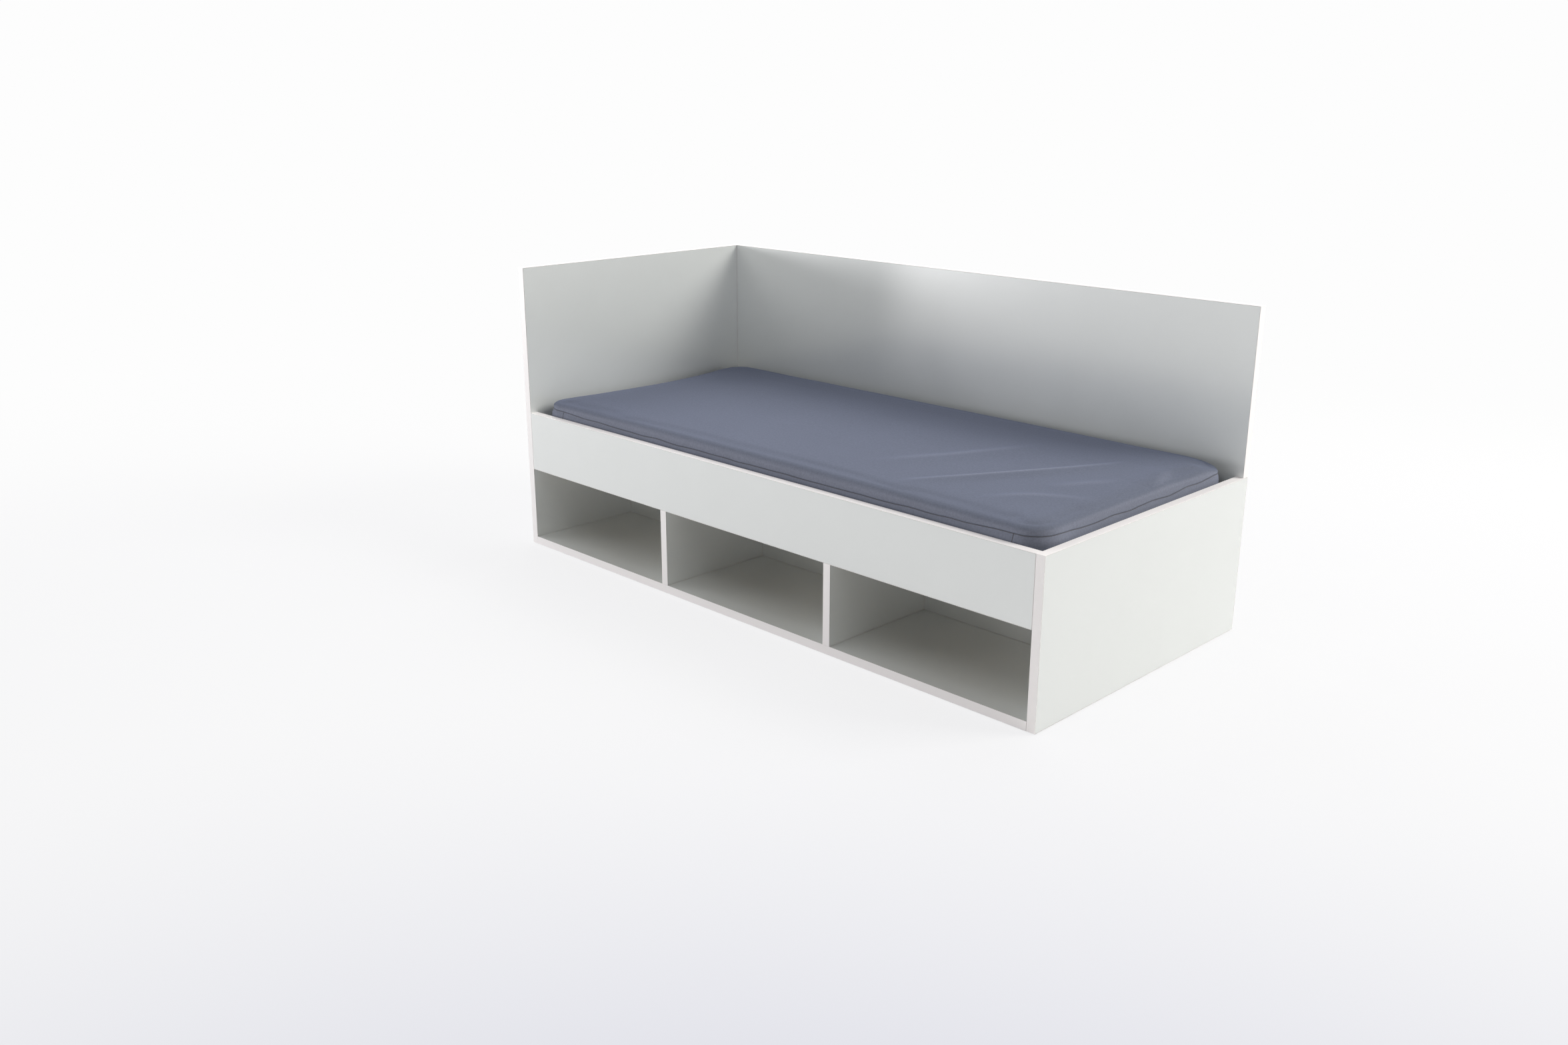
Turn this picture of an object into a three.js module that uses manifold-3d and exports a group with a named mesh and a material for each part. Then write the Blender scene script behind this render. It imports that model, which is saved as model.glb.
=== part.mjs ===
// A corner bed: a tall left end and a tall back stand against two walls, a low front rail and a low
// right end close the mattress well, and three open compartments lie under the rail.
// Lengths are in millimetres. +X runs to the right end, +Y to the back and +Z up. The origin is on
// the floor, under the middle of the bed.

import * as THREE from 'three';
import { mergeVertices } from 'three/addons/utils/BufferGeometryUtils.js';
import Module from 'manifold-3d';

const wasm = await Module();
wasm.setup();

// Mattress well, inside the boards
const wellLength = 2000;
const wellDepth = 900;

// Boards
const board = 25;
const backHeight = 920;
const lowEndHeight = 450;
const railHeight = 190;
const storageDepth = 400;
const compartmentCount = 3;
const seam = 0.2;

// Slatted base
const cleatDepth = 30;
const cleatHeight = 20;
const cleatEndGap = 5;
const cleatScrewShares = [-0.3, 0.3];
const slatCount = 13;
const slatWidth = 90;
const slatThickness = 18;
const slatEndGap = 3;
const outerSlatGap = 15;

// Mattress, with the gaps that it leaves in its well
const mattressThickness = 196;
const mattressCrown = 6;
const mattressLeftGap = 20;
const mattressRightGap = 5;
const mattressFrontGap = 3;
const mattressBackGap = 15;
const mattressRest = 0.3;
const cornerRadius = 80;
const innerCornerRadius = 12;
const heelRadius = 16;
const sideDraw = 6;
const coverSeamDepth = 20;
const coverSeamDip = 9;
const coverSeamPinch = 2;
const shoulderRun = 62;
const crownInsetShares = [0.3, 0.6, 0.88];

// Nail-on glides
const glideHeight = 3;
const glideRadius = 9;
const glidePinRadius = 1.3;
const glidePinLength = 14;
const glideSetback = 40;

// Cam fittings
const camRadius = 7.5;
const camBelowBolt = 4.5;
const camRecess = 0.5;
const camDistance = 34;
const camSlotLength = 9;
const camSlotWidth = 1.6;
const camSlotDepth = 2.4;
const boltThreadRadius = 3;
const boltThreadLength = 11;
const boltShankRadius = 2.6;
const boltNeckRadius = 1.7;
const boltNeckLength = 3;
const boltHeadRadius = 3.4;
const boltHeadLength = 3;
const boltBoreRadius = 4;
const railFittingSpacing = 64;

// Dowels
const dowelRadius = 4;
const dowelReach = 15;
const dowelChamfer = 1;

// Cleat screws
const screwRadius = 2;
const screwHeadRadius = 4;
const screwHeadDepth = 3;
const screwBite = 12;

// Heights and distances at which the fittings stand, as shares of the board that they hold
const baseCamShare = 0.25;
const baseDowelShare = 0.75;
const dividerDowelShare = 0.5;
const baseGlideShare = 0.1;
const storageBackCamShare = 0.5;
const backLowerCamShare = 0.25;
const backUpperCamShare = 0.8;
const backRightCamShare = 0.5;

// Shared clearances, and how far a cutter reaches past the face that it cuts
const clearance = 0.3;
const tip = 1.5;
const overrun = 2;

// Facets of the round pieces and of the mattress
const roundSides = 12;
const camSides = 18;
const cornerSteps = 6;
const longSideSteps = 10;
const shortSideSteps = 5;
const heelSteps = 3;
const shoulderSteps = 4;

// Planes that the boards share
const length = wellLength + 2 * board;
const depth = wellDepth + 2 * board;
const left = -length / 2;
const right = length / 2;
const front = -depth / 2;
const back = depth / 2;
const wellLeft = left + board;
const wellRight = right - board;
const wellFront = front + board;
const wellBack = back - board;
const footLevel = glideHeight;
const baseTop = footLevel + board;
const lowTop = footLevel + lowEndHeight;
const backTop = footLevel + backHeight;
const railUnder = lowTop - railHeight;
const cleatTop = railUnder + cleatHeight;
const slatUnder = cleatTop + seam;
const slatTop = slatUnder + slatThickness;
const storageBackFront = front + storageDepth;
const storageBackRear = storageBackFront + board;
const dividerCount = compartmentCount - 1;
const compartmentWidth = (wellLength - dividerCount * board) / compartmentCount;
const dividerCentres = Array.from(
  { length: dividerCount },
  (_, i) => wellLeft + (i + 1) * compartmentWidth + (i + 0.5) * board,
);

const materials = {
  board: new THREE.MeshStandardMaterial({ color: '#dfe1df', roughness: 0.45, metalness: 0 }),
  timber: new THREE.MeshStandardMaterial({ color: '#d9b98a', roughness: 0.7, metalness: 0 }),
  cover: new THREE.MeshStandardMaterial({ color: '#70768a', roughness: 0.9, metalness: 0 }),
  cam: new THREE.MeshStandardMaterial({ color: '#9a9da0', roughness: 0.45, metalness: 0.9 }),
  steel: new THREE.MeshStandardMaterial({ color: '#b9bcc0', roughness: 0.35, metalness: 1 }),
  glide: new THREE.MeshStandardMaterial({ color: '#8f9294', roughness: 0.7, metalness: 0 }),
};

const axes = {
  x: new THREE.Vector3(1, 0, 0),
  y: new THREE.Vector3(0, 1, 0),
  z: new THREE.Vector3(0, 0, 1),
};

const bed = new THREE.Group();

function addPiece(name, geometry, material) {
  const piece = new THREE.Mesh(geometry, material);
  piece.name = name;
  bed.add(piece);
  return piece;
}

// Turns a closed geometry into a solid that can be cut.
function solidFrom(geometry) {
  const bare = new THREE.BufferGeometry();
  bare.setAttribute('position', geometry.getAttribute('position'));
  bare.setIndex(geometry.getIndex());
  const merged = mergeVertices(bare);
  return new wasm.Manifold(new wasm.Mesh({
    numProp: 3,
    vertProperties: Float32Array.from(merged.getAttribute('position').array),
    triVerts: Uint32Array.from(merged.getIndex().array),
  }));
}

function geometryFrom(solid) {
  const mesh = solid.getMesh();
  const geometry = new THREE.BufferGeometry();
  geometry.setAttribute('position', new THREE.BufferAttribute(mesh.vertProperties, mesh.numProp));
  geometry.setIndex(new THREE.BufferAttribute(mesh.triVerts, 1));
  geometry.computeVertexNormals();
  return geometry;
}

// A block between two opposite corners.
function block(low, high) {
  const size = new THREE.Vector3().subVectors(high, low);
  const middle = new THREE.Vector3().addVectors(low, high).multiplyScalar(0.5);
  return new THREE.BoxGeometry(size.x, size.y, size.z).translate(middle.x, middle.y, middle.z);
}

// The cutter of a round hole that starts at its mouth and runs along a direction.
function boreCutter({ mouth, direction, radius, depth: boreDepth }) {
  const reach = boreDepth + overrun;
  const along = (boreDepth - overrun) / 2;
  const turn = new THREE.Quaternion().setFromUnitVectors(axes.y, direction);
  const cutter = new THREE.CylinderGeometry(radius, radius, reach, roundSides);
  cutter.translate(0, along, 0).applyQuaternion(turn);
  return cutter.translate(mouth.x, mouth.y, mouth.z);
}

// A board between two corners, less its notch and its bores. It is modelled about its own middle.
function addBoard(name, low, high, bores, material = materials.board, notch = null) {
  const middle = new THREE.Vector3().addVectors(low, high).multiplyScalar(0.5);
  let solid = solidFrom(block(low, high).translate(-middle.x, -middle.y, -middle.z));
  if (notch) {
    const cutter = block(notch.low, notch.high);
    solid = solid.subtract(solidFrom(cutter.translate(-middle.x, -middle.y, -middle.z)));
  }
  for (const bore of bores) {
    const cutter = boreCutter(bore).translate(-middle.x, -middle.y, -middle.z);
    solid = solid.subtract(solidFrom(cutter));
  }
  const piece = addPiece(name, geometryFrom(solid), material);
  piece.position.copy(middle);
}

function point(x, y, z) {
  return new THREE.Vector3(x, y, z);
}

function along(start, direction, distance) {
  return start.clone().addScaledVector(direction, distance);
}

// A turned piece whose axis is +Y: the outline is pairs of a radius and a place on the axis.
function turned(outline, sides = roundSides) {
  return new THREE.LatheGeometry(outline.map(([radius, place]) => new THREE.Vector2(radius, place)), sides);
}

function glideGeometry() {
  const plate = glideHeight - seam;
  return turned([
    [0, 0],
    [glideRadius, 0],
    [glideRadius, plate],
    [glidePinRadius, plate],
    [glidePinRadius, plate + glidePinLength - tip],
    [0, plate + glidePinLength],
  ]);
}

function dowelGeometry() {
  return turned([
    [0, -dowelReach],
    [dowelRadius - dowelChamfer, -dowelReach],
    [dowelRadius, dowelChamfer - dowelReach],
    [dowelRadius, dowelReach - dowelChamfer],
    [dowelRadius - dowelChamfer, dowelReach],
    [0, dowelReach],
  ]);
}

// The threaded end lies below the axis zero, the head stands in the cam above it.
function boltGeometry() {
  const neckEnd = camDistance;
  const neckStart = neckEnd - boltNeckLength;
  const headEnd = neckEnd + boltHeadLength;
  return turned([
    [0, -boltThreadLength],
    [boltThreadRadius, tip - boltThreadLength],
    [boltThreadRadius, 0],
    [boltShankRadius, 0],
    [boltShankRadius, neckStart],
    [boltNeckRadius, neckStart],
    [boltNeckRadius, neckEnd],
    [boltHeadRadius, neckEnd],
    [boltHeadRadius, headEnd],
    [0, headEnd],
  ]);
}

// The countersunk head's face is at zero and the point lies below it.
function screwGeometry() {
  const reach = cleatDepth + screwBite;
  return turned([
    [0, -reach],
    [screwRadius, tip - reach],
    [screwRadius, -screwHeadDepth],
    [screwHeadRadius, 0],
    [0, 0],
  ]);
}

// The cam's face is at local z zero, and the bolt comes in from the side of local -X.
function camGeometry() {
  const boltLevel = board / 2 - camRecess;
  const height = boltLevel + camBelowBolt;
  const body = new THREE.CylinderGeometry(camRadius, camRadius, height, camSides);
  body.rotateX(Math.PI / 2).translate(0, 0, -height / 2);
  let cam = solidFrom(body);
  const throat = boreCutter({
    mouth: point(-camRadius, 0, -boltLevel),
    direction: axes.x,
    radius: boltBoreRadius,
    depth: camRadius + boltHeadLength + clearance,
  });
  cam = cam.subtract(solidFrom(throat));
  const halfLength = camSlotLength / 2;
  const halfWidth = camSlotWidth / 2;
  const slots = [[halfLength, halfWidth], [halfWidth, halfLength]];
  for (const [halfX, halfY] of slots) {
    const slot = block(point(-halfX, -halfY, -camSlotDepth), point(halfX, halfY, overrun));
    cam = cam.subtract(solidFrom(slot));
  }
  return geometryFrom(cam);
}

// Each mattress outline runs counterclockwise seen from above. The share is 0 in the corners and
// rises to 1 half way along a side.
function mattressOutline(halfLength, halfWidth, inset) {
  const radius = Math.max(cornerRadius - inset, innerCornerRadius);
  const reachX = halfLength - inset - radius;
  const reachY = halfWidth - inset - radius;
  const corners = [[1, 1], [-1, 1], [-1, -1], [1, -1]];
  const outline = [];
  corners.forEach(([signX, signY], corner) => {
    for (let step = 0; step <= cornerSteps; step += 1) {
      const angle = (corner + step / cornerSteps) * (Math.PI / 2);
      outline.push({
        x: signX * reachX + radius * Math.cos(angle),
        y: signY * reachY + radius * Math.sin(angle),
        normal: [Math.cos(angle), Math.sin(angle)],
        middleShare: 0,
      });
    }
    const next = (corner + 1) % corners.length;
    const steps = corner % 2 ? shortSideSteps : longSideSteps;
    const start = outline[outline.length - 1];
    const angle = next * (Math.PI / 2);
    const end = {
      x: corners[next][0] * reachX + radius * Math.cos(angle),
      y: corners[next][1] * reachY + radius * Math.sin(angle),
    };
    for (let step = 1; step < steps; step += 1) {
      const share = step / steps;
      outline.push({
        x: THREE.MathUtils.lerp(start.x, end.x, share),
        y: THREE.MathUtils.lerp(start.y, end.y, share),
        normal: [Math.cos(angle), Math.sin(angle)],
        middleShare: 1 - (2 * share - 1) ** 4,
      });
    }
  });
  return outline;
}

// The rings of the mattress from its heel up the border, over the cover seam and the shoulder, to
// the crown. Draw is how much of the side draw a ring takes, and dip how much of the seam's dip.
function mattressRings(halfWidth) {
  const seamLevel = mattressThickness - coverSeamDepth;
  const rings = [];
  for (let step = 0; step <= heelSteps; step += 1) {
    const angle = (step / heelSteps) * (Math.PI / 2);
    rings.push({
      inset: heelRadius * (1 - Math.sin(angle)),
      level: heelRadius * (1 - Math.cos(angle)),
      draw: 1,
      dip: 0,
    });
  }
  rings.push({ inset: 0, level: seamLevel - coverSeamDepth, draw: 1, dip: 1 });
  for (let step = 0; step <= shoulderSteps; step += 1) {
    const angle = (step / shoulderSteps) * (Math.PI / 2);
    const rise = Math.sin(angle);
    rings.push({
      inset: shoulderRun * (1 - Math.cos(angle)) + (step ? 0 : coverSeamPinch),
      level: seamLevel + coverSeamDepth * rise,
      draw: 1 - rise,
      dip: 1 - rise,
    });
  }
  for (const share of crownInsetShares) {
    rings.push({
      inset: THREE.MathUtils.lerp(shoulderRun, halfWidth, share),
      level: mattressThickness + mattressCrown * (1 - (1 - share) ** 2),
      draw: 0,
      dip: 0,
    });
  }
  return rings;
}

function mattressGeometry() {
  const halfLength = (wellLength - mattressLeftGap - mattressRightGap) / 2;
  const halfWidth = (wellDepth - mattressFrontGap - mattressBackGap) / 2;
  const rings = mattressRings(halfWidth);
  const positions = [];
  let count = 0;
  for (const ring of rings) {
    const outline = mattressOutline(halfLength, halfWidth, ring.inset);
    count = outline.length;
    for (const { x, y, normal, middleShare } of outline) {
      const pull = sideDraw * ring.draw * middleShare;
      const drop = coverSeamDip * ring.dip * middleShare;
      positions.push(x - normal[0] * pull, y - normal[1] * pull, ring.level - drop);
    }
  }
  const bottomMiddle = rings.length * count;
  const topMiddle = bottomMiddle + 1;
  positions.push(0, 0, 0);
  positions.push(0, 0, mattressThickness + mattressCrown);
  const index = [];
  const lastRing = (rings.length - 1) * count;
  for (let k = 0; k < count; k += 1) {
    const next = (k + 1) % count;
    for (let ring = 0; ring < rings.length - 1; ring += 1) {
      const low = ring * count;
      const high = low + count;
      index.push(low + k, low + next, high + next);
      index.push(low + k, high + next, high + k);
    }
    index.push(bottomMiddle, next, k);
    index.push(topMiddle, lastRing + k, lastRing + next);
  }
  const geometry = new THREE.BufferGeometry();
  geometry.setAttribute('position', new THREE.Float32BufferAttribute(positions, 3));
  geometry.setIndex(index);
  geometry.computeVertexNormals();
  return geometry;
}

function addMattress() {
  const mattress = addPiece('mattress', mattressGeometry(), materials.cover);
  mattress.position.set(
    (wellLeft + mattressLeftGap + wellRight - mattressRightGap) / 2,
    (wellFront + mattressFrontGap + wellBack - mattressBackGap) / 2,
    slatTop + mattressRest,
  );
}

// The bores that each board takes are gathered while the fittings are placed.
const bores = {
  leftEnd: [],
  rightEnd: [],
  back: [],
  rail: [],
  base: [],
  storageBack: [],
  frontCleat: [],
  backCleat: [],
};
const dividerBores = dividerCentres.map(() => []);

const shared = {
  glide: glideGeometry(),
  dowel: dowelGeometry(),
  bolt: boltGeometry(),
  screw: screwGeometry(),
  cam: camGeometry(),
};

// A cam in the held board and its bolt in the end panel. The seat is on the end panel's inner face,
// direction points from there into the held board, and face points out of the board's drilled side.
function addCamFitting(name, seat, direction, face, endBores, boardBores) {
  const bolt = addPiece(`${name}_bolt`, shared.bolt, materials.steel);
  bolt.position.copy(seat);
  bolt.quaternion.setFromUnitVectors(axes.y, direction);
  const cam = addPiece(`${name}_cam`, shared.cam, materials.cam);
  const centre = along(seat, direction, camDistance);
  cam.position.copy(along(centre, face, board / 2 - camRecess));
  const across = new THREE.Vector3().crossVectors(face, direction);
  cam.quaternion.setFromRotationMatrix(new THREE.Matrix4().makeBasis(direction, across, face));
  endBores.push({
    mouth: seat,
    direction: direction.clone().negate(),
    radius: boltThreadRadius + clearance,
    depth: boltThreadLength + clearance,
  });
  boardBores.push({
    mouth: seat,
    direction,
    radius: boltBoreRadius,
    depth: camDistance,
  });
  boardBores.push({
    mouth: along(centre, face, board / 2),
    direction: face.clone().negate(),
    radius: camRadius + clearance,
    depth: board / 2 + camBelowBolt + clearance,
  });
}

// A dowel half in one board and half in the other.
function addDowel(name, seat, direction, firstBores, secondBores) {
  const dowel = addPiece(name, shared.dowel, materials.timber);
  dowel.position.copy(seat);
  dowel.quaternion.setFromUnitVectors(axes.y, direction);
  const size = { radius: dowelRadius + clearance, depth: dowelReach + clearance };
  firstBores.push({ mouth: seat, direction: direction.clone().negate(), ...size });
  secondBores.push({ mouth: seat, direction, ...size });
}

function addGlide(name, x, y, boardBores) {
  const glide = addPiece(name, shared.glide, materials.glide);
  glide.position.set(x, y, 0);
  glide.quaternion.setFromUnitVectors(axes.y, axes.z);
  boardBores.push({
    mouth: point(x, y, footLevel),
    direction: axes.z,
    radius: glidePinRadius + clearance,
    depth: glidePinLength + clearance,
  });
}

// A screw through a cleat into the board that carries it, head on the side that faces the well.
function addCleatScrew(name, head, direction, cleatBores, boardBores) {
  const screw = addPiece(name, shared.screw, materials.steel);
  screw.position.copy(head);
  screw.quaternion.setFromUnitVectors(axes.y, direction.clone().negate());
  cleatBores.push({ mouth: head, direction, radius: screwRadius + clearance, depth: cleatDepth + overrun });
  cleatBores.push({
    mouth: head,
    direction,
    radius: screwHeadRadius + clearance,
    depth: screwHeadDepth + clearance,
  });
  boardBores.push({
    mouth: along(head, direction, cleatDepth),
    direction,
    radius: screwRadius + clearance,
    depth: screwBite + clearance,
  });
}

const towardsRight = axes.x;
const towardsLeft = axes.x.clone().negate();
const ends = [
  { side: 'left', x: wellLeft, direction: towardsRight, endBores: bores.leftEnd },
  { side: 'right', x: wellRight, direction: towardsLeft, endBores: bores.rightEnd },
];

function addRailFittings() {
  const y = front + board / 2;
  const middle = (railUnder + lowTop) / 2;
  for (const { side, x, direction, endBores } of ends) {
    const upper = point(x, y, middle + railFittingSpacing / 2);
    const lower = point(x, y, middle - railFittingSpacing / 2);
    addCamFitting(`rail_${side}`, upper, direction, axes.y, endBores, bores.rail);
    addDowel(`rail_${side}_dowel`, lower, direction, endBores, bores.rail);
  }
}

function addBaseFittings() {
  const z = footLevel + board / 2;
  const underside = axes.z.clone().negate();
  for (const { side, x, direction, endBores } of ends) {
    const camSeat = point(x, front + storageDepth * baseCamShare, z);
    const dowelSeat = point(x, front + storageDepth * baseDowelShare, z);
    addCamFitting(`base_${side}`, camSeat, direction, underside, endBores, bores.base);
    addDowel(`base_${side}_dowel`, dowelSeat, direction, endBores, bores.base);
  }
}

function addStorageBackFittings() {
  const y = storageBackFront + board / 2;
  const z = THREE.MathUtils.lerp(footLevel, cleatTop, storageBackCamShare);
  for (const { side, x, direction, endBores } of ends) {
    addCamFitting(`storage_back_${side}`, point(x, y, z), direction, axes.y, endBores, bores.storageBack);
  }
}

function addBackFittings() {
  const y = back - board / 2;
  const seats = [
    { name: 'back_left_lower', end: ends[0], z: footLevel + backHeight * backLowerCamShare },
    { name: 'back_left_upper', end: ends[0], z: footLevel + backHeight * backUpperCamShare },
    { name: 'back_right', end: ends[1], z: footLevel + lowEndHeight * backRightCamShare },
  ];
  for (const { name, end, z } of seats) {
    addCamFitting(name, point(end.x, y, z), end.direction, axes.y, end.endBores, bores.back);
  }
}

function addDividerDowels() {
  dividerCentres.forEach((x, i) => {
    const seat = point(x, front + storageDepth * dividerDowelShare, baseTop);
    addDowel(`divider_${i + 1}_dowel`, seat, axes.z, bores.base, dividerBores[i]);
  });
}

function addGlides() {
  const endRows = [['front', front + glideSetback], ['back', back - glideSetback]];
  for (const [row, y] of endRows) {
    addGlide(`glide_left_${row}`, left + board / 2, y, bores.leftEnd);
    addGlide(`glide_right_${row}`, right - board / 2, y, bores.rightEnd);
  }
  dividerCentres.forEach((x, i) => {
    addGlide(`glide_base_${i + 1}`, x, front + storageDepth * baseGlideShare, bores.base);
    addGlide(`glide_wall_${i + 1}`, x, back - board / 2, bores.back);
  });
}

function addCleatScrews() {
  const z = (railUnder + cleatTop) / 2;
  cleatScrewShares.forEach((share, i) => {
    const frontHead = point(wellLength * share, wellFront + seam + cleatDepth, z);
    const backHead = point(wellLength * share, wellBack - seam - cleatDepth, z);
    const towardsFront = axes.y.clone().negate();
    addCleatScrew(`front_cleat_screw_${i + 1}`, frontHead, towardsFront, bores.frontCleat, bores.rail);
    addCleatScrew(`back_cleat_screw_${i + 1}`, backHead, axes.y, bores.backCleat, bores.back);
  });
}

function addEnds() {
  const highCorners = [point(left, front, footLevel), point(wellLeft, back, backTop)];
  addBoard('left_end_panel', ...highCorners, bores.leftEnd);
  const lowCorners = [point(wellRight, front, footLevel), point(right, back, lowTop)];
  addBoard('right_end_panel', ...lowCorners, bores.rightEnd);
}

// The back reaches over the low right end, so its lower right corner is notched.
function addBack() {
  const low = point(wellLeft + seam, wellBack, footLevel);
  const high = point(right, back, backTop);
  const notch = {
    low: point(wellRight - seam, wellBack - overrun, footLevel - overrun),
    high: point(right + overrun, back + overrun, lowTop + seam),
  };
  addBoard('back_panel', low, high, bores.back, materials.board, notch);
}

function addRail() {
  const low = point(wellLeft + seam, front, railUnder);
  const high = point(wellRight - seam, wellFront, lowTop);
  addBoard('front_rail', low, high, bores.rail);
}

function addStorage() {
  const rear = storageBackFront - seam;
  const baseLow = point(wellLeft + seam, front, footLevel);
  addBoard('base_panel', baseLow, point(wellRight - seam, rear, baseTop), bores.base);
  dividerCentres.forEach((x, i) => {
    const low = point(x - board / 2, front, baseTop + seam);
    const high = point(x + board / 2, rear, railUnder - seam);
    addBoard(`storage_divider_${i + 1}`, low, high, dividerBores[i]);
  });
  const backLow = point(wellLeft + seam, storageBackFront, footLevel);
  const backHigh = point(wellRight - seam, storageBackRear, cleatTop);
  addBoard('storage_back_panel', backLow, backHigh, bores.storageBack);
}

function addCleats() {
  const x = wellLength / 2 - cleatEndGap;
  const frontNear = wellFront + seam;
  const backFar = wellBack - seam;
  const frontLow = point(-x, frontNear, railUnder);
  const frontHigh = point(x, frontNear + cleatDepth, cleatTop);
  addBoard('front_cleat', frontLow, frontHigh, bores.frontCleat, materials.timber);
  const backLow = point(-x, backFar - cleatDepth, railUnder);
  const backHigh = point(x, backFar, cleatTop);
  addBoard('back_cleat', backLow, backHigh, bores.backCleat, materials.timber);
}

function addSlats() {
  const slatLength = wellDepth - 2 * slatEndGap;
  const pitch = (wellLength - 2 * outerSlatGap - slatWidth) / (slatCount - 1);
  const firstX = wellLeft + outerSlatGap + slatWidth / 2;
  const slat = new THREE.BoxGeometry(slatWidth, slatLength, slatThickness);
  for (let i = 0; i < slatCount; i += 1) {
    const piece = addPiece(`slat_${String(i + 1).padStart(2, '0')}`, slat, materials.timber);
    piece.position.set(firstX + i * pitch, 0, slatUnder + slatThickness / 2);
  }
}

addRailFittings();
addBaseFittings();
addStorageBackFittings();
addBackFittings();
addDividerDowels();
addGlides();
addCleatScrews();
addEnds();
addBack();
addRail();
addStorage();
addCleats();
addSlats();
addMattress();

export default bed;
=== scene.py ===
"""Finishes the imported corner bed: boards, slatted base, fittings, mattress and studio."""

import math

import bmesh
import bpy
from bpy.props import FloatProperty, FloatVectorProperty, PointerProperty
from mathutils import Matrix, Vector, noise
from mathutils.bvhtree import BVHTree


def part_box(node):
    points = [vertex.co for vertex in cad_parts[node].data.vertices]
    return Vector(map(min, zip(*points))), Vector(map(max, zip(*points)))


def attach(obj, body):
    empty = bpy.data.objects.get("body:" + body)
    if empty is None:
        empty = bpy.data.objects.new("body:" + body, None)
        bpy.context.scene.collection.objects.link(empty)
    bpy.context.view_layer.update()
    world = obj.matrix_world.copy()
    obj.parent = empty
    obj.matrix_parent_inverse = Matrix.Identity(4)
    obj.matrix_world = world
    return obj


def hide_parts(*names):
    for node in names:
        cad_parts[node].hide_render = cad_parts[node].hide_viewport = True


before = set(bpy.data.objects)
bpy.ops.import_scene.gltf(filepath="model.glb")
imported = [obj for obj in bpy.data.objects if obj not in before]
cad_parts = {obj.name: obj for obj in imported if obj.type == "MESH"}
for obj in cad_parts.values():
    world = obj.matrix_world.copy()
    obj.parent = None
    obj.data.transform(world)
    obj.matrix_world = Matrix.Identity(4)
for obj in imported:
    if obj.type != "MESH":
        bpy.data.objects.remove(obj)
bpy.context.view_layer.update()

bl_info = {
    "name": "Corner bed",
    "version": (1, 0, 0),
    "blender": (4, 5, 0),
    "location": "View3D > Sidebar > Corner bed",
    "description": "Finishes the corner bed around its packed CAD frame",
    "category": "Object",
}

MM = 0.001
X, Y, Z = 0, 1, 2

# Points that merge, boards that touch, faces that are one flat, the sharp edges of battens and
# fittings, and the share of a normal that lies along an axis where the face is square to it.
MERGE_DISTANCE = 0.001 * MM
TOUCHING = 0.05 * MM
FLAT_ANGLE = math.radians(0.5)
SHARP_ANGLE = math.radians(60)
FITTING_ANGLE = math.radians(50)
FLAT_SHARE = 0.999

# The sockets of a colour Mix node, whose names repeat.
MIX_FACTOR, MIX_A, MIX_B, MIX_RESULT = 0, 6, 7, 2

# How far the bumps of smooth, ordinary and rough surfaces reach.
LOW_RELIEF, RELIEF, HIGH_RELIEF = 0.1 * MM, 0.2 * MM, 0.3 * MM

# Sizes of the patterns. Each material says which of them are coarser than the real ones.
MOTTLE_SIZE, PEARL_SIZE = 160 * MM, 4 * MM
BAND_MOTTLE_SIZE = 50 * MM
FLAKE_SIZE = 3 * MM
FLAME_WIDTH, FLAME_LENGTH = 70 * MM, 1100 * MM
FIBRE_WIDTH, FIBRE_LENGTH = 3 * MM, 120 * MM
CAST_GRAIN, PLATED_GRAIN = 1.0 * MM, 0.6 * MM
FLECK_SIZE = 2 * MM
SKIN_SIZE = 1 * MM
TWILL_STEP, HEATHER_SIZE, CLOUD_SIZE = 3 * MM, 5 * MM, 250 * MM
TWIST_LENGTH = 3 * MM

# The darkest tone of the boards' mottle and of their chipboard, as a share of the colour.
MOTTLE_SHADE, CORE_SHADE = 0.975, 0.6

# How far the roughness of bare metal strays from its middle.
GLOSS_RANGE = 0.06

# Radians that the growth rings run over the whole range of their noise, and that a diagonal Wave
# texture of scale 1 runs over each metre of x + y + z.
RING_RADIANS = 62.0
WAVE_RADIANS = 10

# Segments of the rounded arrises, of the slats' long edges and of their ends.
ARRIS_SEGMENTS, SLAT_SEGMENTS, END_SEGMENTS = 2, 4, 2

BOARD_NODES = (
    "left_end_panel",
    "right_end_panel",
    "back_panel",
    "front_rail",
    "base_panel",
    "storage_divider_1",
    "storage_divider_2",
    "storage_back_panel",
)

# The materials of a board, in the order of its slots.
FACE, BAND, GLUE, CORE = range(4)

# The attribute of painted light on the cover: steep faces and crease crests are painted paler. It
# starts to rise where the upright share of the cover's normal is less than LEVEL_SHARE, and takes
# STEEP_RUN to rise.
PAINTED_LIGHT = "painted_light"
LEVEL_SHARE, STEEP_RUN = 0.9, 0.7

# The cover's parts by their normal: the least upright share on its level top, the least on what
# faces up or forward, and the most on its seams and on its border.
TOP_SHARE, FACING_SHARE = 0.9, 0.7
SEAM_SHARE, BORDER_SHARE = 0.8, 0.95

# The frames of the cloth simulation, and the half width that it holds still at the seams, as a
# share of the mesh size.
FIRST_FRAME, LAST_FRAME = 1, 20
PIN_REACH = 0.75

# The underside's mesh is made coarser inside this share of the corners' radius, in these steps.
UNDER_REACH, UNDER_STEPS = 0.5, 4

# How the seams waver and dip, and the levels at which the flat noises are read.
WAVER_LENGTH = 90 * MM
DIP_POWER = 4
LOWER_LAYER, WAVE_LAYER = 1.0, 3.0

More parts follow.
